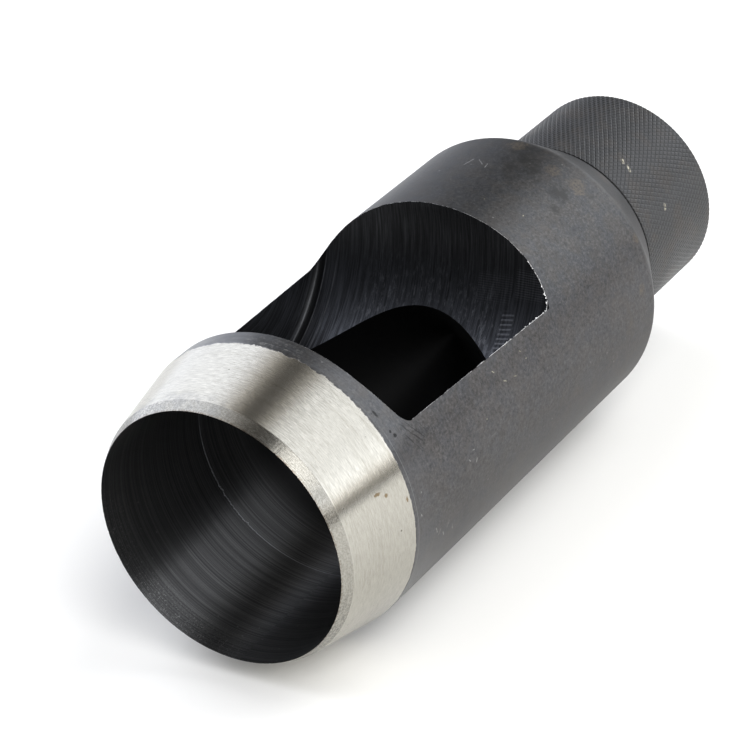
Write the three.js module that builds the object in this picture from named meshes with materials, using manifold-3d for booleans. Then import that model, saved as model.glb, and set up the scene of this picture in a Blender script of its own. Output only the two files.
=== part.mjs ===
// Drive hole punch: a hollow steel punch for cutting large round holes in leather.
// Two pieces: a bored, windowed punch head and a knurled handle seated in its rear.
// Millimetres, +Z up. The punch lies on its side on z = 0, its cutting edge towards -X, its
// window facing up, and the origin is under the middle of its length.

import * as THREE from "three";
import { mergeVertices } from "three/addons/utils/BufferGeometryUtils.js";
import Module from "manifold-3d";

const wasm = await Module();
wasm.setup();

// Driving dimensions. Stations along the punch are measured from the cutting edge.
const OVERALL_LENGTH = 149;
const HOLE_RADIUS = 25; // of the disc that the punch cuts out

const BEVEL_END = 2.3; // short steep bevel that makes the cutting edge
const BEVEL_RADIUS = 26.05;
const TAPER_END = 18; // long ground taper behind the bevel
const HEAD_RADIUS = 29.1;
const HEAD_END = 107.5; // where the full-diameter body ends
const SHOULDER_END = 120; // where the conical shoulder meets the handle
const SHOULDER_RADIUS = 21.7;

const LAND_END = 30.2; // the bore is relieved behind this land
const RELIEF = 0.15;
const BORE_END = 58.2; // where the full-diameter bore ends in a drill-point cone
const BORE_TIP = 80.6;

const CUTTER_RADIUS = 27.7; // of the round cutter that plunged the window
const CUTTER_STATION = 49.5;
const CUTTER_HEIGHT = 26.9; // of the cutter's axis over the punch's axis at full depth
const WINDOW_WIDTH = 51.6;

const HANDLE_RADIUS = 21.15;
const HANDLE_CHAMFER = 1.3;
const SPIGOT_RADIUS = 12;
const SPIGOT_LENGTH = 24;
const SPIGOT_CHAMFER = 1.5;
const GAP = 0.3; // between the head and the handle, all round the joint

const AROUND = 120; // facets round the punch
const WINDOW_ARC_STEPS = 40;

const BLACKENED_STEEL = { color: 0x33353a, roughness: 0.5, metalness: 0.85 };
const KNURLED_STEEL = { color: 0x3a3a3c, roughness: 0.6, metalness: 0.8 };

// A body of revolution about X. The profile is a list of [station, radius] that starts and
// ends on the axis.
function turned(profile) {
  const points = profile.map(([station, radius]) => new THREE.Vector2(radius, station));
  const geometry = new THREE.LatheGeometry(points, AROUND);
  return geometry.rotateZ(-Math.PI / 2);
}

// The space that the milling cutter sweeps as it plunges down to full depth.
function windowCut() {
  const top = HEAD_RADIUS + 1;
  const outline = new THREE.Shape();
  outline.moveTo(CUTTER_STATION + CUTTER_RADIUS, top);
  outline.lineTo(CUTTER_STATION - CUTTER_RADIUS, top);
  outline.lineTo(CUTTER_STATION - CUTTER_RADIUS, CUTTER_HEIGHT);
  outline.absarc(CUTTER_STATION, CUTTER_HEIGHT, CUTTER_RADIUS, Math.PI, 2 * Math.PI, false);
  outline.closePath();
  const geometry = new THREE.ExtrudeGeometry(outline, {
    depth: WINDOW_WIDTH,
    bevelEnabled: false,
    curveSegments: WINDOW_ARC_STEPS,
  });
  return geometry.rotateX(Math.PI / 2).translate(0, WINDOW_WIDTH / 2, 0);
}

// A closed geometry as a manifold-3d solid.
function solid(geometry) {
  const bare = geometry.clone();
  bare.deleteAttribute("normal");
  bare.deleteAttribute("uv");
  const merged = mergeVertices(bare, 1e-4);
  return new wasm.Manifold(
    new wasm.Mesh({
      numProp: 3,
      vertProperties: merged.attributes.position.array,
      triVerts: new Uint32Array(merged.index.array),
    }),
  );
}

// A manifold-3d solid as a three.js geometry.
function geometryOf(made) {
  const mesh = made.getMesh();
  const geometry = new THREE.BufferGeometry();
  geometry.setAttribute("position", new THREE.BufferAttribute(mesh.vertProperties, 3));
  geometry.setIndex(new THREE.BufferAttribute(mesh.triVerts, 1));
  geometry.computeVertexNormals();
  return geometry;
}

// The head: a stepped blind bore from the front, the sharpened and tapered outside, and a
// chamfered blind seat for the handle's spigot from the rear.
function punchHead() {
  const seatRadius = SPIGOT_RADIUS + GAP;
  const seatFloor = SHOULDER_END - SPIGOT_LENGTH - GAP;
  const body = turned([
    [BORE_TIP, 0],
    [BORE_END, HOLE_RADIUS + RELIEF],
    [LAND_END, HOLE_RADIUS + RELIEF],
    [LAND_END, HOLE_RADIUS],
    [0, HOLE_RADIUS],
    [BEVEL_END, BEVEL_RADIUS],
    [TAPER_END, HEAD_RADIUS],
    [HEAD_END, HEAD_RADIUS],
    [SHOULDER_END, SHOULDER_RADIUS],
    [SHOULDER_END, seatRadius + SPIGOT_CHAMFER],
    [SHOULDER_END - SPIGOT_CHAMFER, seatRadius],
    [seatFloor, seatRadius],
    [seatFloor, 0],
  ]);
  return geometryOf(solid(body).subtract(solid(windowCut())));
}

// The handle: a spigot that seats in the head, the knurled grip at its crest radius, and the
// chamfered flat end that the mallet strikes.
function handle() {
  const gripStart = SHOULDER_END + GAP;
  const spigotTip = SHOULDER_END - SPIGOT_LENGTH;
  return turned([
    [spigotTip, 0],
    [spigotTip, SPIGOT_RADIUS - SPIGOT_CHAMFER],
    [spigotTip + SPIGOT_CHAMFER, SPIGOT_RADIUS],
    [gripStart, SPIGOT_RADIUS],
    [gripStart, HANDLE_RADIUS],
    [OVERALL_LENGTH - HANDLE_CHAMFER, HANDLE_RADIUS],
    [OVERALL_LENGTH, HANDLE_RADIUS - HANDLE_CHAMFER],
    [OVERALL_LENGTH, 0],
  ]);
}

function piece(name, geometry, finish) {
  const mesh = new THREE.Mesh(geometry, new THREE.MeshStandardMaterial(finish));
  mesh.name = name;
  return mesh;
}

const punch = new THREE.Group();
punch.position.set(-OVERALL_LENGTH / 2, 0, HEAD_RADIUS);
punch.add(piece("punch_head", punchHead(), BLACKENED_STEEL));
punch.add(piece("knurled_handle", handle(), KNURLED_STEEL));

export default punch;
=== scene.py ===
"""The looks of a drive hole punch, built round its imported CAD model.

The punch lies on its side on z = 0. Its axis runs along X, its cutting edge faces -X and its
window faces up. All lengths are in metres. A station is a distance along the axis from the
cutting edge, and an angle round the axis is 0 at the top and positive towards -Y.
"""

import math
import random

import bmesh
import bpy
from mathutils import Matrix, Vector, noise


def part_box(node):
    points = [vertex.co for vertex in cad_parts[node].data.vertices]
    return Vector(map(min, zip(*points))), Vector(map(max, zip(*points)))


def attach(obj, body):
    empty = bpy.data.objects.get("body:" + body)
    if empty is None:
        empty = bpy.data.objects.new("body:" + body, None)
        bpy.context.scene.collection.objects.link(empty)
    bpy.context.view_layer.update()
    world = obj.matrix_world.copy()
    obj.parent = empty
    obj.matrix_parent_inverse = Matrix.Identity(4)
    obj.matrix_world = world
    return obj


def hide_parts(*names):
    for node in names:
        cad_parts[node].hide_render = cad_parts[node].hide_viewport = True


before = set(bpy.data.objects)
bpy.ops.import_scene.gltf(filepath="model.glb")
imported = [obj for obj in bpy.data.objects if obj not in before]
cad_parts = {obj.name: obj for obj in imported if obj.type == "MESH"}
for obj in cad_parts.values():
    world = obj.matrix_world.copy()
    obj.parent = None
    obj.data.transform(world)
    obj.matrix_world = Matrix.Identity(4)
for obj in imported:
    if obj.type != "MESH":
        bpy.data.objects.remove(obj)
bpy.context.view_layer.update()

# The frame's own dimensions.
HEAD_LOW, HEAD_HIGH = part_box("punch_head")
HANDLE_LOW, HANDLE_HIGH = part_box("knurled_handle")
EDGE_X = HEAD_LOW.x
AXIS_Z = (HEAD_LOW.z + HEAD_HIGH.z) / 2
HEAD_RADIUS = (HEAD_HIGH.z - HEAD_LOW.z) / 2
HEAD_LENGTH = HEAD_HIGH.x - HEAD_LOW.x
GRIP_RADIUS = (HANDLE_HIGH.z - HANDLE_LOW.z) / 2
OVERALL_LENGTH = HANDLE_HIGH.x - HEAD_LOW.x
SPIGOT_TIP = HANDLE_LOW.x - HEAD_LOW.x

# The head, as in the CAD model.
MM = 0.001
HOLE_RADIUS = 25 * MM
BEVEL_END = 2.3 * MM
BEVEL_RADIUS = 26.05 * MM
TAPER_END = 18 * MM
BODY_END = 107.5 * MM
SHOULDER_RADIUS = 21.7 * MM
LAND_END = 30.2 * MM
RELIEF = 0.15 * MM
BORE_END = 58.2 * MM
BORE_TIP = 80.6 * MM
CUTTER_RADIUS = 27.7 * MM
CUTTER_STATION = 49.5 * MM
CUTTER_HEIGHT = 26.9 * MM
WINDOW_HALF = 25.9 * MM
WINDOW_SHIFT = 0.3 * MM  # towards +Y at the cutter's axis
WINDOW_SKEW = 0.0175  # how fast both side walls move towards -Y on the way to the rear
NEAR_FILLET = 1.5 * MM  # at the front of the window's -Y wall, less towards the rear
FAR_FILLET = 2.0 * MM
SPIGOT_RADIUS = 12 * MM
SEAT_GAP = 0.3 * MM
SPIGOT_CHAMFER = 1.5 * MM
END_CHAMFER = 1.3 * MM
SMALL_ROUND = 0.12 * MM
SHOULDER_ROUND = 0.7 * MM

AROUND = 720  # facets round the head


# ---------------------------------------------------------------- shader helpers


class Nodes:
    """A node tree, with one short call for each kind of node."""

    def __init__(self, tree):
        self.tree = tree

    def add(self, kind):
        return self.tree.nodes.new(kind)

    def feed(self, socket, value):
        """Links an output to a socket, or sets a plain value on it."""
        if isinstance(value, bpy.types.NodeSocket):
            self.tree.links.new(value, socket)
        elif value is not None:
            socket.default_value = value

    def math(self, operation, a, b=None):
        node = self.add("ShaderNodeMath")
        node.operation = operation
        self.feed(node.inputs[0], a)
        self.feed(node.inputs[1], b)
        return node.outputs[0]

    def split(self, vector):
        node = self.add("ShaderNodeSeparateXYZ")
        self.feed(node.inputs[0], vector)
        return node.outputs

    def join(self, x=0.0, y=0.0, z=0.0):
        node = self.add("ShaderNodeCombineXYZ")
        for socket, value in zip(node.inputs, (x, y, z)):
            self.feed(socket, value)
        return node.outputs[0]

    def noise(self, vector, scale=1.0, detail=2.0, rough=0.5):
        node = self.add("ShaderNodeTexNoise")
        self.feed(node.inputs["Vector"], vector)
        node.inputs["Scale"].default_value = scale
        node.inputs["Detail"].default_value = detail
        node.inputs["Roughness"].default_value = rough
        return node.outputs["Fac"]

    def specks(self, vector, scale, size):
        """1 inside small round specks, about one in each cell of 1 / scale, else 0."""
        node = self.add("ShaderNodeTexVoronoi")
        self.feed(node.inputs["Vector"], vector)
        node.inputs["Scale"].default_value = scale
        return self.ramp(node.outputs["Distance"], size, size * 0.6)

    def ramp(self, value, low, high, to_low=0.0, to_high=1.0):
        """Smoothly from to_low where value is low to to_high where it is high."""
        node = self.add("ShaderNodeMapRange")
        node.interpolation_type = "SMOOTHSTEP"
        self.feed(node.inputs["Value"], value)
        for name, number in (
            ("From Min", low),
            ("From Max", high),
            ("To Min", to_low),
            ("To Max", to_high),
        ):
            self.feed(node.inputs[name], number)
        return node.outputs["Result"]

    def band(self, value, low, high, soft):
        """1 from low to high, fading to 0 over soft on both sides."""
        rise = self.ramp(value, low - soft, low)
        return self.times(rise, self.ramp(value, high, high + soft, 1.0, 0.0))

    def times(self, *values):
        """All the values multiplied together."""
        product = values[0]
        for value in values[1:]:
            product = self.math("MULTIPLY", product, value)
        return product

    def plus(self, a, b):
        return self.math("ADD", a, b)

    def minus(self, a, b):
        return self.math("SUBTRACT", a, b)

    def mix(self, factor, a, b):
        """A colour between a, where factor is 0, and b, where it is 1."""
        node = self.add("ShaderNodeMix")
        node.data_type = "RGBA"
        self.feed(node.inputs["Factor"], factor)
        self.feed(node.inputs[6], a)
        self.feed(node.inputs[7], b)
        return node.outputs[2]

    def bump(self, height, depth):
        """A bumped normal. Height runs from 0 to 1 over depth metres."""
        node = self.add("ShaderNodeBump")
        node.inputs["Strength"].default_value = 1.0
        node.inputs["Distance"].default_value = depth
        self.feed(node.inputs["Height"], height)
        return node.outputs["Normal"]


class Shader(Nodes):
    """A new material: one Principled surface, and the point on the object that it shades."""

    def __init__(self, name):
        self.material = bpy.data.materials.new(name)
        self.material.use_nodes = True
        super().__init__(self.material.node_tree)
        self.tree.nodes.clear()
        self.output = self.add("ShaderNodeOutputMaterial")
        self.surface = self.add("ShaderNodeBsdfPrincipled")
        self.tree.links.new(self.surface.outputs["BSDF"], self.output.inputs["Surface"])
        self.point = self.add("ShaderNodeTexCoord").outputs["Object"]

    def set(self, name, value):
        self.feed(self.surface.inputs[name], value)

    def around_axis(self):
        """The station in mm, the radius in mm and the angle round the punch's axis, as sockets."""
        x, y, z = self.split(self.point)
        up = self.minus(z, AXIS_Z)
        station = self.math("DIVIDE", self.minus(x, EDGE_X), MM)
        radius = self.math("SQRT", self.plus(self.times(y, y), self.times(up, up)))
        angle = self.math("ARCTAN2", self.times(y, -1.0), up)
        return station, self.math("DIVIDE", radius, MM), angle

    def turned(self, anisotropy):
        """Reflections spread along the axis, as on a surface that was turned or ground."""
        self.set("Anisotropic", anisotropy)
        self.set("Anisotropic Rotation", 0.25)
        tangent = self.add("ShaderNodeTangent")
        tangent.direction_type = "RADIAL"
        tangent.axis = "X"
        self.set("Tangent", tangent.outputs[0])

    def grooves(self, station, angle, per_mm, per_turn, detail=3.0):
        """Uneven marks round the axis: how many there are to a mm, and along one turn."""
        turns = self.times(angle, per_turn / (2 * math.pi))
        return self.noise(self.join(self.times(station, per_mm), turns, 0.0), 1.0, detail, 0.6)

    def local(self, station, angle, where, degrees, lean=0.0):
        """The place on the skin in mm, seen from a point on it, along and across a line that leans
        away from the axis by that many degrees."""
        along = self.minus(station, where)
        around = self.times(self.minus(angle, math.radians(degrees)), HEAD_RADIUS / MM)
        c, s = math.cos(math.radians(lean)), math.sin(math.radians(lean))
        u = self.plus(self.times(along, c), self.times(around, s))
        v = self.minus(self.times(around, c), self.times(along, s))
        return u, v

    def patch(self, station, angle, where, degrees, size, stretch=1.0, ragged=1400.0):
        """1 inside one small ragged patch, size mm across, at a station in mm and an angle."""
        u, v = self.local(station, angle, where, degrees)
        v = self.math("DIVIDE", v, stretch)
        far = self.math("SQRT", self.plus(self.times(u, u), self.times(v, v)))
        edge = self.noise(self.point, ragged, 3.0, 0.7)
        far = self.plus(far, self.times(self.minus(edge, 0.5), size))
        return self.ramp(far, size * 0.3, size * 0.6, 1.0, 0.0)

    def strokes(self, station, angle, places, width):
        """1 on straight scratches, each (station in mm, degrees, length in mm, lean in degrees)."""
        drawn = 0.0
        for where, degrees, length, lean in places:
            u, v = self.local(station, angle, where, degrees, lean)
            inside = self.ramp(self.math("ABSOLUTE", u), length * 0.3, length * 0.55, 1.0, 0.0)
            line = self.ramp(self.math("ABSOLUTE", v), width * 0.4, width, 1.0, 0.0)
            drawn = self.math("MAXIMUM", drawn, self.times(inside, line))
        return drawn


def grey(level, warmth=0.0):
    """A colour of that brightness: warmth above 0 is yellowish, below 0 bluish."""
    return (level * (1 + warmth * 0.35), level, level * (1 - warmth), 1.0)


# ---------------------------------------------------------------- materials

RUST = (0.17, 0.105, 0.04, 1.0)
BROWN = (0.125, 0.098, 0.066, 1.0)

# Small marks, each at a station in mm and an angle in degrees. Patches go on with their size in mm,
# and some with how far they stretch round the axis.
STEEL_RUST = (
    (11.2, 72.8, 1.5, 0.5),
    (12.9, 75.0, 0.9, 0.8),
    (17.0, 81.0, 0.45, 2.2),
)
BORDER_PITS = (
    (19.6, 50, 0.6, 2.6),
    (20.1, 58, 0.6, 1.0),
    (20.6, 60, 0.8, 1.0),
)
DARK_CLOUDS = (
    (97.4, 34.0, 5.0),
    (98.0, 15.2, 9.0),
    (93.0, 38.0, 2.6),
    (104.0, 10.8, 6.0),
)
BROWN_CLOUDS = (
    (102.3, 24.9, 3.6),
    (102.3, 36.2, 4.2),
    (105.5, 6.5, 4.0),
    (106.6, 66.0, 1.8),
    (103.2, 84.3, 2.6),
)

# Strokes go on with their length in mm and their lean away from the axis in degrees.
SCRATCHES = (
    (24.9, 102.5, 1.7, 65),
    (26.0, 104.5, 1.5, -55),
    (27.6, 107.0, 1.6, 60),
    (28.9, 104.5, 1.6, -70),
    (30.9, 108.0, 1.5, 78),
    (19.8, 90.0, 1.2, 65),
    (36.8, 87.2, 1.0, 50),
    (38.5, 84.7, 0.8, 10),
    (39.0, 89.3, 1.1, -55),
    (95.8, -4.6, 3.4, 12),
    (96.3, 0.0, 3.0, -44),
    (95.2, 3.6, 2.0, -9),
)
SCRATCH_WIDTH = 0.16
YELLOW_FLECKS = (
    (57.4, 61.9, 0.9, 60),
    (60.4, 67.9, 0.7, 40),
    (61.2, 71.5, 0.5, 0),
    (51.0, 66.8, 0.8, 50),
    (53.1, 72.5, 1.0, 30),
    (56.3, 73.8, 0.9, 20),
    (85.3, 31.2, 0.5, 0),
    (83.8, 15.7, 0.4, 0),
    (44.6, 79.0, 0.5, 20),
)
FLECK_WIDTH = 0.15
KNURL_FLECKS = (
    (128.4, 37.0, 2.0, -60),
    (128.0, 42.5, 2.4, -62),
    (131.0, 71.5, 2.4, -75),
)
KNURL_FLECK_WIDTH = 0.5

DEEP_SHADE = (36.0, 46.0)  # stations in mm between which painted shade turns the bore black


def bevel_tone(s, angle, mottle):
    """The cutting bevel's colour: duller than the taper, speckled towards +Y and low down with specks that
    are partly wear and partly painted shade, and darkened by painted shade from just off the top round
    towards -Y.
    """
    dull = s.mix(s.ramp(mottle, 0.38, 0.62), grey(0.33, 0.10), grey(0.24, 0.12))
    # Dark specks towards +Y and low down: partly wear, partly painted shade.
    far_side_wear_and_shade = s.ramp(angle, math.radians(10), math.radians(-60))
    worn = s.math("MAXIMUM", far_side_wear_and_shade, s.ramp(angle, 1.7, 2.2))
    dull = s.mix(s.times(worn, s.ramp(mottle, 0.42, 0.58), 0.85), dull, grey(0.10, 0.0))
    speckled = s.times(s.ramp(angle, -0.6, -1.1), s.ramp(mottle, 0.40, 0.55), 0.7)
    dull = s.mix(speckled, dull, grey(0.06, 0.0))
    # Painted shade from just off the top round towards -Y.
    return s.mix(s.times(s.band(angle, 0.1, 0.95, 0.25), 0.3), dull, grey(0.14, 0.1))


def ground_steel(s, station, angle):
    """Bright ground steel: (colour, roughness, height)."""
    dashes = s.grooves(station, angle, 4.6, 105)
    lines = s.grooves(station, angle, 10.0, 34, 2.0)
    passes = s.grooves(station, angle, 0.75, 9)
    mottle = s.noise(s.point, 2600.0, 3.0, 0.65)
    color = s.mix(s.ramp(dashes, 0.28, 0.72), grey(0.345, 0.11), grey(0.44, 0.11))
    color = s.mix(s.ramp(lines, 0.56, 0.72, 0.0, 0.6), color, grey(0.19, 0.17))
    color = s.mix(s.ramp(passes, 0.5, 0.75, 0.0, 0.4), color, grey(0.25, 0.17))
    color = s.mix(s.ramp(mottle, 0.55, 0.8, 0.0, 0.3), color, grey(0.22, 0.17))
    bevel = s.ramp(station, BEVEL_END / MM + 0.06, BEVEL_END / MM - 0.06)
    color = s.mix(bevel, color, bevel_tone(s, angle, mottle))
    # Painted light: a paler tone from low on the -Y side round underneath.
    color = s.mix(s.ramp(angle, 1.15, 1.35, 0.0, 0.14), color, grey(0.55, 0.11))
    # A smudge behind the bevel towards +Y, and a painted highlight along the corner between bevel and
    # taper, strongest towards -Y.
    cloud = s.noise(s.point, 500.0, 4.0, 0.7)
    smudge = s.times(s.ramp(station, 5.5, 2.6), s.ramp(angle, 0.5, -0.2), s.ramp(cloud, 0.4, 0.6))
    color = s.mix(s.times(smudge, 0.4), color, grey(0.16, 0.0))
    # Painted highlight along the bevel's back corner.
    crest = s.band(station, BEVEL_END / MM + 0.04, BEVEL_END / MM + 0.14, 0.08)
    crest = s.times(crest, s.ramp(passes, 0.4, 0.6, 0.1, 0.6), s.ramp(angle, 0.2, 0.8, 0.15, 0.8))
    color = s.mix(crest, color, grey(0.50, 0.10))
    # Dark pits, a few small rust marks, and a brown tinge at the very edge.
    pits = s.times(s.specks(s.point, 520.0, 0.12), s.ramp(s.noise(s.point, 210.0), 0.54, 0.62))
    color = s.mix(s.times(pits, 0.8), color, grey(0.06, 0.25))
    for where, degrees, size, stretch in STEEL_RUST:
        rust = s.patch(station, angle, where, degrees, size, stretch, 2600.0)
        color = s.mix(s.times(rust, 0.8), color, RUST)
    lip = s.times(s.ramp(station, 0.4, 0.05), s.ramp(mottle, 0.4, 0.6))
    color = s.mix(s.times(lip, 0.6), color, (0.14, 0.10, 0.07, 1.0))
    rough = s.plus(s.ramp(dashes, 0.3, 0.7, 0.27, 0.19), s.times(bevel, 0.04))
    height = s.plus(dashes, s.times(lines, 0.4))
    height = s.plus(height, s.times(mottle, s.times(bevel, 0.4)))
    height = s.minus(height, s.times(pits, 0.8))
    return color, rough, height


def black_skin(s, station, angle, clouds, grain, blotches):
    """The mottled black, with painted shade at the shoulder and from the top round to +Y, and painted
    light low down towards -Y."""
    tint = s.noise(s.point, 300.0, 4.0, 0.7)
    color = s.mix(s.ramp(clouds, 0.35, 0.7), grey(0.041, -0.02), grey(0.0545, -0.01))
    color = s.mix(s.ramp(tint, 0.42, 0.62, 0.0, 0.7), color, (0.054, 0.049, 0.045, 1.0))
    color = s.mix(s.ramp(tint, 0.52, 0.36, 0.0, 0.3), color, (0.042, 0.045, 0.054, 1.0))
    color = s.mix(s.ramp(grain, 0.48, 0.70, 0.0, 0.65), color, grey(0.110, 0.02))
    color = s.mix(s.ramp(grain, 0.48, 0.32, 0.0, 0.75), color, grey(0.018, 0.0))
    color = s.mix(s.ramp(blotches, 0.52, 0.72, 0.0, 0.4), color, grey(0.029, 0.02))
    # Painted shade over the shoulder.
    shoulder = s.ramp(station, BODY_END / MM + 0.2, BODY_END / MM + 1.2, 0.0, 0.75)
    color = s.mix(shoulder, color, grey(0.022, 0.0))
    # Painted shade: darker from the top round to +Y, fading out about 30 degrees towards -Y.
    color = s.mix(s.ramp(angle, 0.55, 0.0, 0.0, 0.32), color, grey(0.022, -0.02))
    # Painted light: paler low down towards -Y, broken up by the grain and by dark blotches.
    lower_side = s.ramp(angle, 0.95, 1.25)
    pale = s.times(lower_side, s.ramp(grain, 0.30, 0.70, 0.04, 0.26))
    color = s.mix(pale, color, (0.142, 0.132, 0.137, 1.0))
    return s.mix(s.times(lower_side, s.ramp(blotches, 0.46, 0.34, 0.0, 0.2)), color, grey(0.016, 0.0))


def worn_front(s, station, angle, color, turning, near_front):
    """The black just behind the bright steel: turning marks, a paler stretch from the top round to +Y
    that is partly wear and partly painted light, scuffs and a thin ring."""
    marks = s.times(near_front, s.ramp(turning, 0.44, 0.66, 0.1, 0.8))
    color = s.mix(marks, color, grey(0.080, -0.05))
    # Paler along the turning marks from the top round to +Y: partly wear, partly painted light.
    worn = s.times(near_front, s.ramp(angle, 0.02, -0.16), s.ramp(turning, 0.36, 0.6, 0.45, 0.95))
    color = s.mix(worn, color, grey(0.150, -0.04))
    scuffs = s.ramp(s.noise(s.point, 900.0, 4.0, 0.75), 0.50, 0.66)
    scuffs = s.times(scuffs, s.ramp(turning, 0.42, 0.58))
    scuffs = s.times(scuffs, s.ramp(station, 23.0, 19.0), s.ramp(angle, 0.55, 0.1))
    color = s.mix(s.times(scuffs, 0.8), color, grey(0.26, 0.06))
    ring = s.times(s.band(station, 18.65, 18.75, 0.08), s.ramp(angle, 0.85, 1.2, 0.0, 0.6))
    return s.mix(ring, color, grey(0.16, 0.0))


def stained(s, station, angle, color, grain, blotches):
    """Dark and brown stains near the rear, and fainter brown ones that grow towards it."""
    for where, degrees, size in DARK_CLOUDS:
        dark = s.patch(station, angle, where, degrees, size, 1.0, 420.0)
        color = s.mix(s.times(dark, s.ramp(blotches, 0.40, 0.56, 0.2, 0.8)), color, grey(0.022, 0.04))
    for where, degrees, size in BROWN_CLOUDS:
        brown = s.patch(station, angle, where, degrees, size, 1.0, 520.0)
        color = s.mix(s.times(brown, s.ramp(grain, 0.40, 0.60, 0.05, 0.5)), color, BROWN)
    rust = s.noise(s.point, 70.0, 6.0, 0.7)
    stain = s.times(s.ramp(rust, 0.55, 0.72, 0.0, 0.5), s.ramp(station, 60.0, 98.0, 0.35, 1.0))
    return s.mix(stain, color, (0.090, 0.072, 0.055, 1.0))


def scratched(s, station, angle, color, grain):
    """Pale scratches, yellowish flecks of swarf, and dust."""
    lines = s.strokes(station, angle, SCRATCHES, SCRATCH_WIDTH)
    color = s.mix(s.times(lines, s.ramp(grain, 0.38, 0.60, 0.15, 0.8)), color, grey(0.28, 0.03))
    flecks = s.strokes(station, angle, YELLOW_FLECKS, FLECK_WIDTH)
    color = s.mix(s.times(flecks, s.ramp(grain, 0.38, 0.6, 0.3, 0.9)), color, grey(0.32, 0.22))
    dust = s.times(s.specks(s.point, 430.0, 0.11), s.ramp(s.noise(s.point, 150.0), 0.56, 0.66))
    return s.mix(s.times(dust, 0.45), color, grey(0.26, 0.03))


def black_steel(s, station, angle):
    """Blackened steel: (colour, roughness, height)."""
    clouds = s.noise(s.point, 60.0, 5.0, 0.6)
    grain = s.noise(s.point, 1700.0, 4.0, 0.75)
    blotches = s.noise(s.point, 380.0, 4.0, 0.65)
    turning = s.grooves(station, angle, 6.5, 20)
    near_front = s.ramp(station, 27.0, 19.5)
    color = black_skin(s, station, angle, clouds, grain, blotches)
    color = worn_front(s, station, angle, color, turning, near_front)
    # A small patch of slanting cuts beside the window's front corner.
    along, across = s.local(station, angle, 25.5, 64.0, 60.0)
    cuts = s.noise(s.join(s.times(along, 0.25), s.times(across, 2.2), 5.0), 1.0, 2.0)
    cuts = s.times(s.ramp(cuts, 0.54, 0.62), s.patch(station, angle, 25.5, 64.0, 6.5, 1.0, 300.0))
    color = s.mix(s.times(cuts, 0.8), color, grey(0.016, 0.0))
    color = stained(s, station, angle, color, grain, blotches)
    color = scratched(s, station, angle, color, grain)
    pits = 0.0
    for where, degrees, size, stretch in BORDER_PITS:
        pits = s.math("MAXIMUM", pits, s.patch(station, angle, where, degrees, size, stretch))
    color = s.mix(pits, color, grey(0.006, 0.0))
    smooth_front = s.plus(station, s.times(clouds, 12.0))
    rough = s.ramp(smooth_front, 20.0, 42.0, 0.29, 0.41)
    rough = s.plus(rough, s.ramp(grain, 0.3, 0.7, -0.03, 0.05))
    height = s.plus(s.times(grain, 0.5), s.times(blotches, 0.9))
    height = s.plus(height, s.times(turning, near_front, 0.6))
    height = s.minus(height, s.plus(pits, s.times(cuts, 0.4)))
    return color, rough, height


def outside_material():
    """The head's outside: ground bright steel in front of a wavy line, blackened steel behind."""
    s = Shader("punch_outside")
    station, _, angle = s.around_axis()
    steel, steel_rough, steel_height = ground_steel(s, station, angle)
    black, black_rough, black_height = black_steel(s, station, angle)
    # The line between them wanders most from the top round to +Y, and is torn into small steps.
    wander = s.noise(s.join(s.times(angle, 7.0), 0.0, 3.0), 1.0, 4.0, 0.7)
    wander = s.times(s.minus(wander, 0.5), s.ramp(angle, 1.0, 0.2, 0.4, 2.2))
    steps = s.noise(s.join(s.times(angle, 38.0), s.times(station, 1.2), 9.0), 1.0, 2.0)
    wander = s.plus(wander, s.times(s.minus(steps, 0.5), s.ramp(angle, 1.3, 0.5, 0.16, 0.55)))
    border = s.plus(wander, TAPER_END / MM - 0.3)
    beyond = s.minus(station, border)
    skin = s.ramp(beyond, -0.05, 0.05)
    color = s.mix(skin, steel, black)
    torn = s.times(s.band(beyond, -0.03, 0.08, 0.05), s.ramp(steps, 0.45, 0.65))
    s.set("Base Color", s.mix(s.times(torn, 0.4), color, grey(0.50, 0.06)))
    s.set("Metallic", s.ramp(skin, 0.0, 1.0, 1.0, 0.6))
    blend = s.add("ShaderNodeMix")
    s.feed(blend.inputs[0], skin)
    s.feed(blend.inputs[2], steel_rough)
    s.feed(blend.inputs[3], black_rough)
    s.set("Roughness", blend.outputs[0])
    s.turned(0.8)
    bare = s.minus(1.0, skin)
    height = s.plus(s.times(steel_height, bare), s.times(black_height, skin))
    s.set("Normal", s.bump(height, 0.02 * MM))
    return s.material


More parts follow.
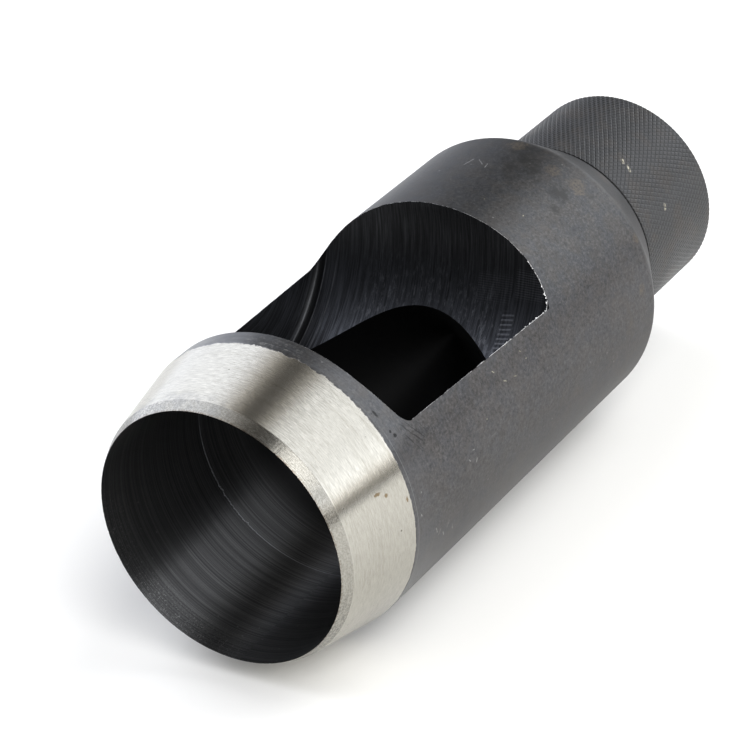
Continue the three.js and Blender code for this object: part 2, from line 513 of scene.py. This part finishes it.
def bore_material():
    """The turned, blackened bore: bright rings near the mouth, a torn lip where its relief starts,
    and painted shade that turns it black further in."""
    s = Shader("punch_bore")
    station, _, angle = s.around_axis()
    rings = s.grooves(station, angle, 3.6, 1.2, 5.0)
    fine = s.grooves(station, angle, 9.0, 2.5, 2.0)
    dust = s.noise(s.point, 3800.0, 2.0, 0.7)
    color = s.mix(s.ramp(rings, 0.35, 0.68), grey(0.034, -0.02), grey(0.066, 0.0))
    color = s.mix(s.ramp(fine, 0.52, 0.72, 0.0, 0.7), color, grey(0.13, 0.0))
    wobble = s.noise(s.join(s.times(angle, 26.0), 0.0, 1.0), 1.0, 4.0, 0.7)
    torn = s.band(angle, math.radians(-136), math.radians(-112), 0.15)
    wobble = s.times(s.minus(wobble, 0.5), s.ramp(torn, 0.0, 1.0, 0.3, 2.6))
    lip = s.band(s.plus(station, wobble), LAND_END / MM - 0.06, LAND_END / MM + 0.10, 0.10)
    lip = s.times(lip, s.ramp(fine, 0.35, 0.6, 0.4, 0.9))
    color = s.mix(lip, color, grey(0.20, -0.06))
    # Painted shade: the bore turns black further in.
    color = s.mix(s.ramp(station, *DEEP_SHADE), color, grey(0.009, -0.03))
    low_rim = s.times(s.ramp(station, 9.0, 1.0), s.band(angle, -2.9, -1.6, 0.4))
    color = s.mix(s.times(low_rim, s.ramp(dust, 0.55, 0.70)), color, grey(0.16, 0.02))
    specks = s.times(s.specks(s.point, 420.0, 0.10), s.ramp(station, 25.0, 3.0, 0.0, 0.4))
    color = s.mix(specks, color, grey(0.2, 0.0))
    s.set("Base Color", color)
    s.set("Metallic", s.math("MINIMUM", s.ramp(lip, 0.0, 1.0, 0.9, 0.4), s.ramp(station, *DEEP_SHADE, 0.9, 0.8)))
    s.set("Specular IOR Level", 0.25)
    s.set("Roughness", s.plus(s.ramp(rings, 0.3, 0.7, 0.40, 0.33), s.ramp(station, *DEEP_SHADE, 0.0, 0.2)))
    s.turned(0.8)
    height = s.plus(rings, s.times(fine, 0.6))
    height = s.plus(height, s.times(dust, low_rim, 0.8))
    s.set("Normal", s.bump(height, 0.015 * MM))
    return s.material


def milled_material():
    """The window's walls: the cutter's marks lie across Y, as arcs round the cutter's axis."""
    s = Shader("punch_milled")
    x, y, z = s.split(s.point)
    across = s.math("DIVIDE", s.minus(x, EDGE_X + CUTTER_STATION), MM)
    up = s.math("DIVIDE", s.minus(z, AXIS_Z + CUTTER_HEIGHT), MM)
    side = s.math("DIVIDE", y, MM)
    reach = s.math("SQRT", s.plus(s.times(across, across), s.times(up, up)))
    turn = s.math("ARCTAN2", across, s.times(up, -1.0))
    degrees = s.math("DEGREES", turn)
    deep = s.ramp(degrees, 78.0, 42.0)  # 1 just above the bore, 0 high up
    place = s.join(s.times(side, 2.6), s.times(reach, 2.6), s.times(turn, 2.6))
    marks = s.noise(place, 1.0, 4.0, 0.65)
    lumps = s.noise(s.join(s.times(side, 1.6), reach, s.times(turn, 14.0)), 1.0, 4.0, 0.7)
    scores = s.noise(s.join(s.times(side, 1.1), 0.0, s.times(turn, 0.8)), 1.0, 5.0, 0.8)
    # Painted light and shade: lighter low down just above the bore, darker high up on the walls.
    dark = s.mix(s.ramp(marks, 0.38, 0.68), grey(0.011, -0.08), grey(0.027, -0.08))
    light = s.mix(s.ramp(marks, 0.38, 0.66), grey(0.024, -0.12), grey(0.064, -0.12))
    color = s.mix(deep, dark, light)
    # Lumps away from the side walls, and dark scores anywhere. The round next to the +Y wall gets painted
    # shade, with thin pale lines on and beside it: tool-mark ridges painted as highlights.
    inset = s.minus((WINDOW_HALF + WINDOW_SHIFT) / MM, s.plus(side, s.times(across, WINDOW_SKEW)))
    lumpy = s.times(deep, s.band(inset, 16.0, 38.0, 8.0), s.ramp(lumps, 0.50, 0.66, 0.0, 0.8))
    color = s.mix(lumpy, color, grey(0.12, -0.08))
    color = s.mix(s.ramp(scores, 0.46, 0.36, 0.0, 0.6), color, grey(0.006, -0.05))
    # Painted shade on the round next to the +Y wall.
    color = s.mix(s.times(s.band(inset, 0.3, FAR_FILLET / MM, 0.3), 0.8), color, grey(0.004, -0.05))
    # Thin pale lines: tool-mark ridges painted as highlights.
    for offset, strength in ((0.8, 0.15), (2.2, 0.6), (4.6, 0.3)):
        line = s.times(s.band(inset, offset - 0.05, offset + 0.05, 0.12), s.band(degrees, 28.0, 56.0, 14.0))
        color = s.mix(s.times(line, s.ramp(lumps, 0.3, 0.6, 0.4, 1.0), strength), color, grey(0.19, -0.05))
    # Chatter: short bars side by side, a narrow ladder low down and wider, fainter ones above.
    chatter = 0.0
    for low, high, near, far, rungs, bend, strength in (
        (34.0, 54.0, -18.9, -16.7, 190.0, 0.9, 1.0),
        (63.0, 71.0, -24.5, -18.6, 400.0, -0.12, 0.40),
        (60.0, 68.0, -17.6, -10.5, 400.0, 0.25, 0.25),
    ):
        slide = s.plus(s.times(turn, rungs), s.times(side, bend))
        bars = s.times(s.ramp(s.math("SINE", slide), -0.1, 0.7), s.band(side, near, far, 0.3))
        bars = s.times(bars, s.band(degrees, low, high, 3.0), strength)
        chatter = s.math("MAXIMUM", chatter, bars)
    color = s.mix(s.times(chatter, s.ramp(marks, 0.35, 0.6, 0.45, 1.0)), color, grey(0.10, -0.08))
    s.set("Base Color", color)
    s.set("Metallic", 0.9)
    s.set("Specular IOR Level", 0.25)
    s.set("Roughness", s.ramp(marks, 0.3, 0.7, 0.48, 0.36))
    height = s.plus(s.plus(marks, scores), s.times(chatter, 0.6))
    height = s.plus(height, s.times(lumps, deep, 1.2))
    s.set("Normal", s.bump(height, 0.032 * MM))
    return s.material


def burr_material():
    """Torn metal along the window's sharp edges, brightest towards the rear of its -Y edge."""
    s = Shader("punch_burr")
    station, _, angle = s.around_axis()
    wear = s.noise(s.point, 1300.0, 3.0, 0.7)
    bright = s.times(s.ramp(station, 42.0, 56.0), s.ramp(angle, 0.2, 0.9))
    thin = s.mix(s.ramp(wear, 0.4, 0.62), grey(0.12, -0.03), grey(0.55, 0.0))
    torn = s.mix(s.ramp(wear, 0.35, 0.55), grey(0.30, 0.02), grey(0.90, 0.01))
    s.set("Base Color", s.mix(bright, thin, torn))
    s.set("Metallic", 0.7)
    s.set("Roughness", s.ramp(wear, 0.4, 0.6, 0.55, 0.35))
    s.set("Normal", s.bump(wear, 0.03 * MM))
    return s.material


def knurl_material():
    """The blackened handle: dark grooves, slightly worn crests, a few bright nicks."""
    s = Shader("handle_knurl")
    station, radius, angle = s.around_axis()
    depth = s.minus(GRIP_RADIUS / MM, radius)
    clouds = s.noise(s.point, 90.0, 4.0, 0.6)
    grain = s.noise(s.point, 1900.0, 3.0, 0.7)
    tint = s.noise(s.point, 160.0, 4.0, 0.7)
    color = s.mix(s.ramp(clouds, 0.35, 0.7), grey(0.045, -0.02), grey(0.056, -0.01))
    color = s.mix(s.ramp(tint, 0.46, 0.62, 0.0, 0.6), color, (0.068, 0.059, 0.051, 1.0))
    color = s.mix(s.ramp(grain, 0.48, 0.8, 0.0, 0.4), color, grey(0.12, 0.0))
    groove = s.ramp(depth, KNURL_DEPTH / MM * 0.2, KNURL_DEPTH / MM, 0.0, 0.35)
    color = s.mix(groove, color, grey(0.026, 0.0))
    # Painted shade: the grip, but not its end face, is darker along its upper -Y side.
    grip = s.ramp(depth, 1.2, 0.4)
    color = s.mix(s.times(grip, s.band(angle, 0.45, 1.0, 0.25), 0.4), color, grey(0.024, 0.0))
    # Painted shade in the neck next to the head, with a ragged edge.
    neck = s.plus(station, s.times(tint, 0.5))
    neck_end = (HEAD_LENGTH + SEAT_GAP + NECK_LENGTH) / MM
    color = s.mix(s.ramp(neck, neck_end + 0.55, neck_end + 0.15, 0.0, 0.97), color, grey(0.004, 0.0))
    fleck = s.times(s.strokes(station, angle, KNURL_FLECKS, KNURL_FLECK_WIDTH), s.ramp(depth, 0.055, 0.03))
    color = s.mix(s.times(fleck, s.ramp(grain, 0.36, 0.52)), color, grey(0.34, 0.22))
    nicks = s.times(s.specks(s.point, 330.0, 0.12), s.ramp(s.noise(s.point, 130.0), 0.66, 0.72))
    color = s.mix(s.times(nicks, 0.6), color, grey(0.34, 0.06))
    s.set("Base Color", color)
    s.set("Metallic", 0.8)
    s.set("Roughness", s.ramp(clouds, 0.35, 0.7, 0.40, 0.50))
    s.set("Normal", s.bump(grain, 0.008 * MM))
    return s.material


# ---------------------------------------------------------------- the head


def axis_point(station, turn, radius):
    """The place at a station, at an angle round the punch's axis and a distance from it."""
    return (EDGE_X + station, -radius * math.sin(turn), AXIS_Z + radius * math.cos(turn))


def rounded(points, radii, steps=4):
    """An outline with each inner corner rounded to about its radius, and a point close to each
    end of the round, which keeps the long flat stretches evenly shaded."""
    made = [points[0]]
    for before, corner, after, radius in zip(points, points[1:], points[2:], radii):
        a, b, c = Vector(before), Vector(corner), Vector(after)
        cut = min(radius, (a - b).length * 0.4, (c - b).length * 0.4)
        start, end = b + (a - b).normalized() * cut, b + (c - b).normalized() * cut
        made.append(tuple(start + (a - b).normalized() * cut * 0.2))
        for i in range(steps + 1):
            t = i / steps
            made.append(tuple(start.lerp(b, t).lerp(b.lerp(end, t), t)))
        made.append(tuple(end + (c - b).normalized() * cut * 0.2))
    made.append(points[-1])
    return made


def revolve(profile, zones, around):
    """A closed mesh: profile is [(station, radius)] from axis to axis, zones a material index for
    each of its stretches."""
    bm = bmesh.new()
    rings = []
    for station, radius in profile:
        if radius < 1e-9:
            rings.append([bm.verts.new((EDGE_X + station, 0, AXIS_Z))])
            continue
        ring = []
        for i in range(around):
            turn = 2 * math.pi * i / around
            ring.append(bm.verts.new(axis_point(station, turn, radius)))
        rings.append(ring)
    for first, second, zone in zip(rings, rings[1:], zones):
        for i in range(around):
            j = (i + 1) % around
            corners = ((first, i), (first, j), (second, j), (second, i))
            unique = dict.fromkeys(ring[k % len(ring)] for ring, k in corners)
            face = bm.faces.new(list(unique))
            face.material_index = zone
            face.smooth = True
    bmesh.ops.recalc_face_normals(bm, faces=bm.faces)
    return bm


OUTSIDE, BORE, MILLED = range(3)


def head_profile():
    """The turned head as (outline, material index of each stretch)."""
    seat = SPIGOT_RADIUS + SEAT_GAP
    seat_floor = SPIGOT_TIP - SEAT_GAP
    bore = [
        (BORE_TIP, 0.0),
        (BORE_END, HOLE_RADIUS + RELIEF),
        (LAND_END, HOLE_RADIUS + RELIEF),
        (LAND_END, HOLE_RADIUS),
        (0.0, HOLE_RADIUS),
    ]
    outside = [
        (0.0, HOLE_RADIUS),
        (BEVEL_END, BEVEL_RADIUS),
        (TAPER_END, HEAD_RADIUS),
        (BODY_END, HEAD_RADIUS),
        (HEAD_LENGTH, SHOULDER_RADIUS),
        (HEAD_LENGTH, seat + SPIGOT_CHAMFER),
        (HEAD_LENGTH - SPIGOT_CHAMFER, seat),
        (seat_floor, seat),
        (seat_floor, 0.0),
    ]
    corners = [SMALL_ROUND] * (len(outside) - 2)
    corners[outside.index((BODY_END, HEAD_RADIUS)) - 1] = SHOULDER_ROUND
    outside = rounded(outside, corners)
    profile = bore + outside[1:]
    zones = [BORE] * (len(bore) - 1) + [OUTSIDE] * (len(outside) - 1)
    return profile, zones


def wall(side, station):
    """Y of the window's side wall there: side is -1 or 1."""
    return side * WINDOW_HALF + WINDOW_SHIFT - (station - CUTTER_STATION) * WINDOW_SKEW


def window_cutter():
    """The space that the milling cutter sweeps, as a closed mesh."""
    bm = bmesh.new()
    top = CUTTER_HEIGHT + CUTTER_RADIUS
    arc_steps = 180
    round_steps = 8
    # Each row goes across the window, from its -Y wall round both fillets to its +Y wall.
    ways = [(-1.0, 0.0, top)]
    ways += [(-math.cos(math.pi * i / arc_steps), -math.sin(math.pi * i / arc_steps), CUTTER_HEIGHT)
             for i in range(arc_steps + 1)]
    ways += [(1.0, 0.0, top)]
    rows = []
    for along, down, height in ways:
        near = max(NEAR_FILLET * -along, 0.1 * MM)
        row = []
        for side, fillet in ((-1, near), (1, FAR_FILLET)):
            bend = []
            for i in range(round_steps + 1):
                turn = math.pi / 2 * (1 - i / round_steps)
                reach = CUTTER_RADIUS - fillet * (1 - math.cos(turn))
                station = CUTTER_STATION + along * reach
                y = wall(side, station) - side * fillet * (1 - math.sin(turn))
                bend.append(bm.verts.new((EDGE_X + station, y, AXIS_Z + height + down * reach)))
            row += bend if side < 0 else reversed(bend)
        rows.append(row)
    for first, second in zip(rows, rows[1:]):
        for i in range(len(first) - 1):
            bm.faces.new([first[i], first[i + 1], second[i + 1], second[i]])
    bm.faces.new([row[0] for row in rows])
    bm.faces.new([row[-1] for row in rows])
    bm.faces.new(list(rows[0]) + list(reversed(rows[-1])))
    bmesh.ops.recalc_face_normals(bm, faces=bm.faces)
    for face in bm.faces:
        face.material_index = MILLED
        face.smooth = True
    return bm


def mesh_object(name, bm, materials):
    mesh = bpy.data.meshes.new(name)
    bm.to_mesh(mesh)
    bm.free()
    for material in materials:
        mesh.materials.append(material)
    made = bpy.data.objects.new(name, mesh)
    bpy.context.scene.collection.objects.link(made)
    return made


def apply_modifiers(piece):
    graph = bpy.context.evaluated_depsgraph_get()
    mesh = bpy.data.meshes.new_from_object(piece.evaluated_get(graph))
    piece.modifiers.clear()
    piece.data = mesh


def nick_edge(bm):
    """Small nicks in the cutting edge."""
    for v in bm.verts:
        if abs(v.co.x - EDGE_X) < 1e-7:
            way = Vector((v.co.y, v.co.z - AXIS_Z, 0)).normalized()
            rough = noise.noise(way * 45) * 0.5 + noise.noise(way * 120)
            v.co.x += max(0.0, rough - 0.15) * 0.16 * MM


def make_head():
    materials = [outside_material(), bore_material(), milled_material()]
    profile, zones = head_profile()
    bm = revolve(profile, zones, AROUND)
    nick_edge(bm)
    head = mesh_object("head", bm, materials)
    cutter = mesh_object("cutter", window_cutter(), materials)
    cut = head.modifiers.new("window", "BOOLEAN")
    cut.object = cutter
    cut.operation = "DIFFERENCE"
    cut.solver = "EXACT"
    apply_modifiers(head)
    bpy.data.objects.remove(cutter)
    head.data.set_sharp_from_angle(angle=math.radians(28))
    return head


BURR_STEP = 0.13 * MM
BURR_THINNEST = 0.028 * MM
BURR_THICKEST = 0.25 * MM


def window_edge(step):
    """Points along the window's edge on the outside, from its front -Y corner round the rear."""
    points = []

    def add(station, y):
        z = math.sqrt(HEAD_RADIUS**2 - y**2)
        points.append(Vector((station, y, z)))

    for side in (-1, 1):
        for i in range(201):
            station = CUTTER_STATION + side * 23 * MM * (1 - i / 100)
            add(station, wall(side, station))
        end = -side
        limit = WINDOW_HALF - 0.5 * MM
        for i in range(201):
            y = side * limit * (1 - i / 100)
            below = max(0.0, CUTTER_HEIGHT - math.sqrt(HEAD_RADIUS**2 - y**2))
            add(CUTTER_STATION + end * math.sqrt(CUTTER_RADIUS**2 - below**2), y)
    even = [points[0]]
    for point in points[1:]:
        while (point - even[-1]).length > step:
            even.append(even[-1].lerp(point, step / (point - even[-1]).length))
    return [Vector((EDGE_X + p.x, p.y, AXIS_Z + p.z)) for p in even]


def burr_size(i, point):
    """How thick the torn metal is at point i along the window's edge: a thread, with flecks on it
    that grow along the -Y edge towards its rear corner."""
    station = (point.x - EDGE_X) / MM
    fine = noise.noise(Vector((i * 0.45, 5, 0)))
    broad = noise.noise(Vector((i * 0.17, 0, 0))) + fine * 0.6
    thread = (0.045 + 0.03 * fine + 0.05 * noise.noise(Vector((i * 0.06, 9, 0)))) * MM
    if point.y > 0:
        return thread * 0.8
    rear = min(max((station - 46) / 24, 0.0), 1.0)
    corner = max(0.0, 1 - abs(point.y + WINDOW_HALF) / (3 * MM))
    up_the_rear = max(0.0, 1 - (point.y + WINDOW_HALF) / (9 * MM))
    fleck = (broad - 0.25 + rear * 0.30 + corner * 0.1) * 0.42 * MM * max(rear, 0.45) * up_the_rear
    return max(thread, min(fleck, BURR_THICKEST))


def make_burr():
    """Torn metal along the window's edge, in pieces that break off where it gets too thin."""
    bm = bmesh.new()
    edge = window_edge(BURR_STEP)
    middle = Vector((EDGE_X + CUTTER_STATION, 0, AXIS_Z + HEAD_RADIUS))
    chance = random.Random(4)
    sides = 5
    rings = []

    def close_piece():
        if len(rings) > 2:
            for first, second in zip(rings, rings[1:]):
                for k in range(sides):
                    after = (k + 1) % sides
                    bm.faces.new([first[k], first[after], second[after], second[k]])
            bm.faces.new(list(reversed(rings[0])))
            bm.faces.new(rings[-1])
        elif rings:
            bmesh.ops.delete(bm, geom=[v for ring in rings for v in ring], context="VERTS")
        rings.clear()

    for i, (point, after) in enumerate(zip(edge, edge[1:])):
        size = burr_size(i, point)
        if size < BURR_THINNEST:
            close_piece()
            continue
        ahead = (after - point).normalized()
        out = Vector((0, point.y, point.z - AXIS_Z)).normalized()
        opening = middle - point
        opening = (opening - out * opening.dot(out) - ahead * opening.dot(ahead)).normalized()
        centre = point + opening * size * 0.35 - out * size * 0.95
        ring = []
        for k in range(sides):
            turn = 2 * math.pi * k / sides
            reach = size * chance.uniform(0.7, 1.1)
            sideways = opening * math.cos(turn) * reach
            outwards = out * math.sin(turn) * reach * 0.8
            ring.append(bm.verts.new(centre + sideways + outwards))
        rings.append(ring)
    close_piece()
    bmesh.ops.recalc_face_normals(bm, faces=bm.faces)
    return mesh_object("window_burr", bm, [burr_material()])


# ---------------------------------------------------------------- the handle

KNURLS_AROUND = 121
KNURL_ROWS = 28  # half diamonds along the grip
KNURL_DEPTH = 0.065 * MM
CREST_SHARE = 0.5  # of a diamond that is left flat
NECK_LENGTH = 0.9 * MM  # the plain chamfer in front of the grip
NECK_DEPTH = 0.7 * MM


def make_handle():
    """The handle: truncated diamonds over the whole grip, then the chamfered end and the spigot."""
    bm = bmesh.new()
    front = HEAD_LENGTH + SEAT_GAP
    start = front + NECK_LENGTH
    end = OVERALL_LENGTH - END_CHAMFER
    row = (end - start) / KNURL_ROWS
    pitch = 2 * math.pi / KNURLS_AROUND

    def at(station, turn, radius):
        return bm.verts.new(axis_point(station, turn, radius))

    valley = GRIP_RADIUS - KNURL_DEPTH
    corners = [
        [at(start + row * r, pitch * (i + 0.5 * (r % 2)), valley) for i in range(KNURLS_AROUND)]
        for r in range(KNURL_ROWS + 1)
    ]

    def corner(r, i):
        return corners[r][i % KNURLS_AROUND]

    def crest(r, turn, clip=0):
        """The flat top of the diamond centred on row r: front, right, back, left."""
        station = start + row * r
        half = row * CREST_SHARE
        side = pitch / 2 * CREST_SHARE
        return (
            at(station - half, turn, GRIP_RADIUS) if clip >= 0 else None,
            at(station, turn + side, GRIP_RADIUS),
            at(station + half, turn, GRIP_RADIUS) if clip <= 0 else None,
            at(station, turn - side, GRIP_RADIUS),
        )

    start_ring, end_ring = [], []
    for r in range(KNURL_ROWS + 1):
        shift = 0.5 * (r % 2)
        for i in range(KNURLS_AROUND):
            turn = pitch * (i + 0.5 + shift)
            left, right = corner(r, i), corner(r, i + 1)
            other = i + (1 if r % 2 else 0)
            if r == 0:
                _, a, back, b = crest(r, turn, -1)
                far = corner(r + 1, other)
                bm.faces.new([b, a, back])
                bm.faces.new([right, far, back, a])
                bm.faces.new([far, left, b, back])
                start_ring += [left, b, a]
            elif r == KNURL_ROWS:
                ahead, a, _, b = crest(r, turn, 1)
                near = corner(r - 1, other)
                bm.faces.new([ahead, a, b])
                bm.faces.new([near, right, a, ahead])
                bm.faces.new([left, near, ahead, b])
                end_ring += [left, b, a]
            else:
                ahead, a, back, b = crest(r, turn)
                near, far = corner(r - 1, other), corner(r + 1, other)
                bm.faces.new([ahead, a, back, b])
                bm.faces.new([near, right, a, ahead])
                bm.faces.new([right, far, back, a])
                bm.faces.new([far, left, b, back])
                bm.faces.new([left, near, ahead, b])

    def ring(station, radius, like):
        """A ring with a vertex at the angle of each vertex in another ring."""
        made = []
        for v in like:
            turn = math.atan2(-v.co.y, v.co.z - AXIS_Z)
            made.append(at(station, turn, radius))
        return made

    def skirt(first, second):
        for i in range(len(first)):
            j = (i + 1) % len(first)
            bm.faces.new([first[i], first[j], second[j], second[i]])

    face_radius = GRIP_RADIUS - END_CHAMFER
    outer = ring(OVERALL_LENGTH, face_radius, end_ring)
    skirt(end_ring, outer)
    bm.faces.new(outer)
    neck = ring(front, GRIP_RADIUS - NECK_DEPTH, start_ring)
    skirt(start_ring, neck)
    inner = ring(front, SPIGOT_RADIUS, start_ring)
    skirt(neck, inner)
    tip = ring(SPIGOT_TIP + SPIGOT_CHAMFER, SPIGOT_RADIUS, start_ring)
    skirt(inner, tip)
    nose = ring(SPIGOT_TIP, SPIGOT_RADIUS - SPIGOT_CHAMFER, start_ring)
    skirt(tip, nose)
    bm.faces.new(nose)
    bmesh.ops.recalc_face_normals(bm, faces=bm.faces)
    return mesh_object("handle", bm, [knurl_material()])


# ---------------------------------------------------------------- stage, light and camera


def make_floor():
    bm = bmesh.new()
    bmesh.ops.create_circle(bm, cap_ends=True, radius=12.0, segments=96)
    s = Shader("floor")
    cloud = s.noise(s.point, 3.0, 2.0)
    s.set("Base Color", s.mix(cloud, grey(0.89, 0.04), grey(0.91, 0.04)))
    s.set("Roughness", 0.6)
    s.set("Specular IOR Level", 0.2)
    floor = mesh_object("floor", bm, [s.material])


LIGHT_LEFT = (2.38, 2.48, 2.74)
LIGHT_RIGHT = (2.92, 3.00, 3.14)
LIGHT_FRONT = 0.06  # times as bright, on the side that the cutting edge faces
LIGHT_REAR = 0.26  # times as bright, on the left, towards the rear end
GAP_LIGHT = 0.05  # times as bright, in the dark gap overhead
GAP_COLOR = (2.50, 2.35, 2.15)
GAP_NORMAL = Vector((0.436, -0.89, -0.132))  # from the gap towards the light on the right
GAP_EDGE = (0.03, 0.40)  # how far off the gap's middle it starts and stops getting lighter
# Where each lamp's light comes from (azimuth 0 is +X, 90 is +Y), its elevation, its power in watts,
# and whether the metal mirrors it.
LAMPS = {
    "key": (-122.0, 40.0, 9.5, True),
    "side": (-60.0, 62.0, 4.0, False),
}
LAMP_DISTANCE = 1.3
LAMP_SIZE = 0.9


def make_world():
    """Two wide soft lights, one on each side, with a dark gap overhead along the punch."""
    world = bpy.data.worlds.new("studio")
    bpy.context.scene.world = world
    world.use_nodes = True
    s = Nodes(world.node_tree)
    way = s.add("ShaderNodeTexCoord").outputs["Generated"]
    aside = s.add("ShaderNodeVectorMath")
    aside.operation = "DOT_PRODUCT"
    s.feed(aside.inputs[0], way)
    aside.inputs[1].default_value = GAP_NORMAL
    aside = aside.outputs["Value"]
    x, _, z = s.split(way)
    right = s.ramp(aside, -0.1, 0.1)
    # The gap is wider in the middle, and a little wider at the rear.
    narrow = s.ramp(s.band(x, -0.12, 0.15, 0.2), 0.0, 1.0, 1.0, 0.66)
    narrow = s.times(narrow, s.ramp(x, 0.5, 0.7, 1.0, 0.78))
    off = s.times(s.math("ABSOLUTE", aside), narrow)
    lit = s.ramp(off, GAP_EDGE[0], GAP_EDGE[1], GAP_LIGHT, 1.0)
    lit = s.math("MAXIMUM", lit, s.ramp(z, 0.22, 0.42, 0.5, 0.0))
    # On the right the light is dim at the horizon and high up in the middle, and strongest at the rear.
    along = s.math("MAXIMUM", s.ramp(x, 0.30, 0.42, 1.0, 0.84), s.ramp(x, 0.60, 0.70, 0.0, 1.16))
    low = s.times(s.ramp(z, 0.05, 0.20, 0.10, 1.0), s.ramp(z, 0.1, 0.6, 1.0, 0.84), along)
    middle = s.minus(1.0, s.times(s.band(x, -0.16, 0.20, 0.12), s.ramp(z, 0.30, 0.58), 0.75))
    low = s.math("MAXIMUM", s.times(low, middle), s.ramp(aside, 0.0, 0.2, 1.0, 0.0))
    front = s.ramp(x, -0.1, -0.5, 1.0, LIGHT_FRONT)
    # The light on the left ends short of the punch's rear end.
    rear = s.math("MAXIMUM", s.ramp(x, 0.48, 0.72, 1.0, LIGHT_REAR), right)
    strength = s.times(lit, low, front, rear)
    color = s.mix(right, LIGHT_LEFT + (1.0,), LIGHT_RIGHT + (1.0,))
    warm = s.math("MAXIMUM", s.ramp(off, 0.35, 0.08), s.times(right, s.ramp(z, 0.28, 0.06)))
    color = s.mix(s.times(warm, s.ramp(x, 0.68, 0.50)), color, GAP_COLOR + (1.0,))
    background = s.tree.nodes["Background"]
    s.feed(background.inputs["Color"], color)
    s.feed(background.inputs["Strength"], strength)


def make_lamp(name, azimuth, elevation, power, mirrored):
    """A round soft light that faces the punch."""
    light = bpy.data.lights.new(name, "AREA")
    light.shape = "DISK"
    light.size = LAMP_SIZE
    light.energy = power
    made = bpy.data.objects.new(name, light)
    made.visible_glossy = mirrored
    a, e = math.radians(azimuth), math.radians(elevation)
    way = Vector((math.cos(a) * math.cos(e), math.sin(a) * math.cos(e), math.sin(e)))
    turned = way.to_track_quat("Z", "Y").to_matrix().to_4x4()
    made.matrix_world = Matrix.Translation(way * LAMP_DISTANCE) @ turned
    bpy.context.scene.collection.objects.link(made)


CAMERA_AZIMUTH = 54.48  # of the way it looks: 0 is +Y, 90 is +X
CAMERA_DROP = 27.79  # below the horizon
CAMERA_ROLL = 7.63
CAMERA_DISTANCE = 546.9 * MM
CAMERA_AIM = Vector((EDGE_X + 56.07 * MM, 2.59 * MM, AXIS_Z + 2.86 * MM))
CAMERA_LENS = 141.0


def make_camera():
    a, e, roll = (math.radians(v) for v in (CAMERA_AZIMUTH, CAMERA_DROP, CAMERA_ROLL))
    look = Vector((math.sin(a) * math.cos(e), math.cos(a) * math.cos(e), -math.sin(e)))
    level = look.cross(Vector((0, 0, 1))).normalized()
    upright = level.cross(look)
    up = upright * math.cos(roll) + level * math.sin(roll)
    right = look.cross(up)
    data = bpy.data.cameras.new("camera")
    data.lens = CAMERA_LENS
    data.sensor_width = 36.0
    data.clip_start, data.clip_end = 0.01, 60.0
    camera = bpy.data.objects.new("camera", data)
    place = CAMERA_AIM - look * CAMERA_DISTANCE
    camera.matrix_world = Matrix.Translation(place) @ Matrix((right, up, -look)).transposed().to_4x4()
    bpy.context.scene.collection.objects.link(camera)
    bpy.context.scene.camera = camera


make_floor()
make_world()
for lamp, settings in LAMPS.items():
    make_lamp(lamp, *settings)
make_camera()
bpy.context.scene.view_settings.view_transform = "Standard"

head = make_head()
burr = make_burr()
handle = make_handle()
for piece, node, finish in (
    (head, "punch_head", "blackened_steel"),
    (handle, "knurled_handle", "knurled_steel"),
):
    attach(piece, "root")
    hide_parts(node)
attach(burr, "root")
